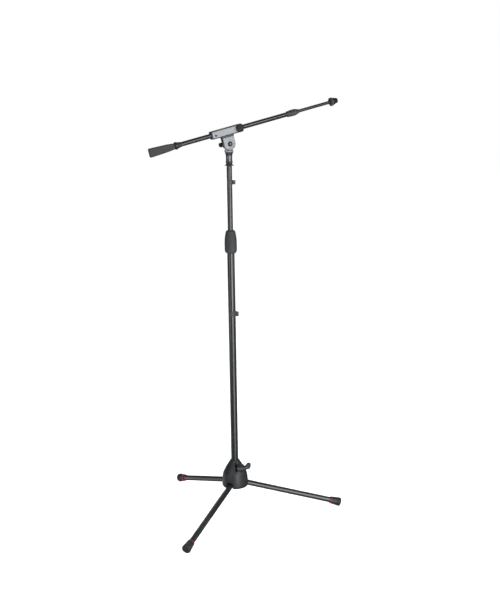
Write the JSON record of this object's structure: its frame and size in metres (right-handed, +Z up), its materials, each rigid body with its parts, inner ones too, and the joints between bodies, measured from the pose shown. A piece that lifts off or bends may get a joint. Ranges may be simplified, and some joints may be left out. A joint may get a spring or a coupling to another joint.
{
  "type": "boom microphone stand",
  "caption": "Folding tripod microphone stand with a twist-clutch telescopic column and a tilting, telescopic boom with a counterweight.",
  "frame": {"origin": "on the column's axis at floor level", "axes": "+Z up along the column; +X to the right of the view in which the boom's microphone end points right and 23 degrees away, +Y away from the viewer"},
  "size_m": [0.5688, 0.5923, 1.2802],
  "materials": {
    "tube_black": "satin black powder coat",
    "cast_black": "fine-textured dark grey powder coat on a die casting",
    "cast_grey": "satin light grey casting",
    "rubber_black": "matt black rubber",
    "ring_red": "matt crimson plastic",
    "grip_grey": "dark grey moulded rubber",
    "plastic_black": "matt black moulded plastic",
    "plastic_grey": "dark grey moulded plastic",
    "steel_zinc": "zinc-plated steel",
    "steel_black": "black oxide on turned steel",
    "nylon": "natural nylon",
    "fibre": "brown friction fibre",
    "brass": "turned brass",
    "weight_grey": "matt grey enamel on cast iron"
  },
  "bodies": {
    "base": {"base_bell": "cast_black", "base_clamp_nut": "steel_zinc", "leg_pin_1": "steel_zinc", "leg_pin_2": "steel_zinc", "leg_pin_3": "steel_zinc"},
    "base_screw": {"base_wing_screw": "plastic_black"},
    "leg_1": {"leg_tube_1": "tube_black", "foot_ring_1": "ring_red", "rubber_foot_1": "rubber_black"},
    "leg_2": {"leg_tube_2": "tube_black", "foot_ring_2": "ring_red", "rubber_foot_2": "rubber_black"},
    "leg_3": {"leg_tube_3": "tube_black", "foot_ring_3": "ring_red", "rubber_foot_3": "rubber_black"},
    "lower_column": {"lower_tube": "tube_black", "lower_tube_plug": "plastic_black", "clutch_core": "plastic_black", "clutch_collet": "nylon"},
    "lower_clip": {"lower_cable_clip": "plastic_grey"},
    "height_clutch": {"clutch_grip": "grip_grey"},
    "upper_column": {"upper_tube": "tube_black", "upper_tube_guide": "nylon", "top_thread_stud": "steel_black", "stud_set_screw": "cast_black"},
    "upper_clip": {"upper_cable_clip": "plastic_grey"},
    "lock_ring": {"swivel_lock_ring": "cast_black"},
    "swivel": {"swivel_socket": "cast_black", "swivel_shoulder": "cast_grey"},
    "boom_clamp": {"front_friction_disc": "fibre", "rear_friction_disc": "fibre", "front_cheek": "cast_grey", "rear_cheek": "cast_black", "pivot_bolt": "steel_zinc", "pivot_nut": "cast_black", "clamp_frame": "cast_black", "front_side_plate": "cast_grey", "rear_side_plate": "cast_grey", "side_plate_screws": "cast_black", "tail_tube_bush": "plastic_black", "nose_tube_bush": "plastic_black", "clamp_pad": "brass"},
    "tilt_knob": {"pivot_tee_knob": "plastic_black"},
    "clamp_screw": {"clamp_knob": "plastic_black"},
    "boom_outer": {"boom_outer_tube": "tube_black", "boom_tail_stud": "steel_zinc", "boom_end_bush": "plastic_grey", "boom_collet": "nylon"},
    "tail_weight": {"counterweight_collar": "cast_black", "counterweight": "weight_grey"},
    "boom_nut": {"boom_clutch_nut": "plastic_grey"},
    "boom_inner": {"boom_inner_tube": "tube_black", "boom_inner_guide": "nylon", "mic_thread_stud": "steel_black"},
    "mic_ring": {"mic_lock_ring": "plastic_grey"}
  },
  "joints": [
    {"name": "leg_1_fold", "type": "hinge", "parent": "base", "child": "leg_1", "pos_m": [0.02791, 0.0022, 0.09779], "axis": [-0.0785, 0.9969, 0], "range_deg": [0, 75]},
    {"name": "leg_2_fold", "type": "hinge", "parent": "base", "child": "leg_2", "pos_m": [-0.01586, 0.02308, 0.09779], "axis": [-0.8241, -0.5664, 0], "range_deg": [0, 75]},
    {"name": "leg_3_fold", "type": "hinge", "parent": "base", "child": "leg_3", "pos_m": [-0.01205, -0.02527, 0.09779], "axis": [0.9026, -0.4305, 0], "range_deg": [0, 75]},
    {"name": "base_screw_turn", "type": "hinge", "parent": "base", "child": "base_screw", "pos_m": [0.00226, -0.01987, 0.15], "axis": [0.9936, 0.1132, 0], "continuous": true},
    {"name": "column_raise", "type": "slide", "parent": "base", "child": "lower_column", "axis": [0, 0, 1], "range_m": [0, 0.04]},
    {"name": "lower_clip_slide", "type": "slide", "parent": "lower_column", "child": "lower_clip", "axis": [0, 0, 1], "range_m": [-0.35, 0.16]},
    {"name": "clutch_turn", "type": "hinge", "parent": "lower_column", "child": "height_clutch", "pos_m": [0, 0, 0.8575], "axis": [0, 0, 1], "range_deg": [0, 180]},
    {"name": "column_height", "type": "slide", "parent": "lower_column", "child": "upper_column", "axis": [0, 0, 1], "range_m": [-0.13, 0.43]},
    {"name": "upper_clip_turn", "type": "hinge", "parent": "upper_column", "child": "upper_clip", "pos_m": [0, 0, 1.0345], "axis": [0, 0, 1], "continuous": true},
    {"name": "lock_ring_turn", "type": "hinge", "parent": "upper_column", "child": "lock_ring", "pos_m": [0, 0, 1.087], "axis": [0, 0, 1], "continuous": true},
    {"name": "boom_pan", "type": "hinge", "parent": "upper_column", "child": "swivel", "pos_m": [0, 0, 1.1], "axis": [0, 0, 1], "continuous": true},
    {"name": "boom_tilt", "type": "hinge", "parent": "swivel", "child": "boom_clamp", "pos_m": [0, 0, 1.147], "axis": [0.3907, -0.9205, 0], "range_deg": [-103.5, 76.5]},
    {"name": "tilt_knob_turn", "type": "hinge", "parent": "boom_clamp", "child": "tilt_knob", "pos_m": [-0.00977, 0.02301, 1.147], "axis": [0.3907, -0.9205, 0], "continuous": true},
    {"name": "clamp_screw_turn", "type": "hinge", "parent": "boom_clamp", "child": "clamp_screw", "pos_m": [0.03341, -0.00103, 1.19193], "axis": [0.3907, -0.9205, 0], "continuous": true},
    {"name": "boom_slide", "type": "slide", "parent": "boom_clamp", "child": "boom_outer", "axis": [0.8951, 0.3799, 0.2334], "range_m": [-0.14, 0.09]},
    {"name": "counterweight_turn", "type": "hinge", "parent": "boom_outer", "child": "tail_weight", "pos_m": [-0.18688, -0.07933, 1.1359], "axis": [0.8951, 0.3799, 0.2334], "continuous": true},
    {"name": "boom_nut_turn", "type": "hinge", "parent": "boom_outer", "child": "boom_nut", "pos_m": [0.198, 0.08405, 1.23628], "axis": [0.8951, 0.3799, 0.2334], "range_deg": [0, 180]},
    {"name": "boom_extend", "type": "slide", "parent": "boom_outer", "child": "boom_inner", "axis": [0.8951, 0.3799, 0.2334], "range_m": [-0.1, 0.19]},
    {"name": "mic_ring_turn", "type": "hinge", "parent": "boom_inner", "child": "mic_ring", "pos_m": [0.31884, 0.13534, 1.2678], "axis": [0.8951, 0.3799, 0.2334], "continuous": true}
  ]
}
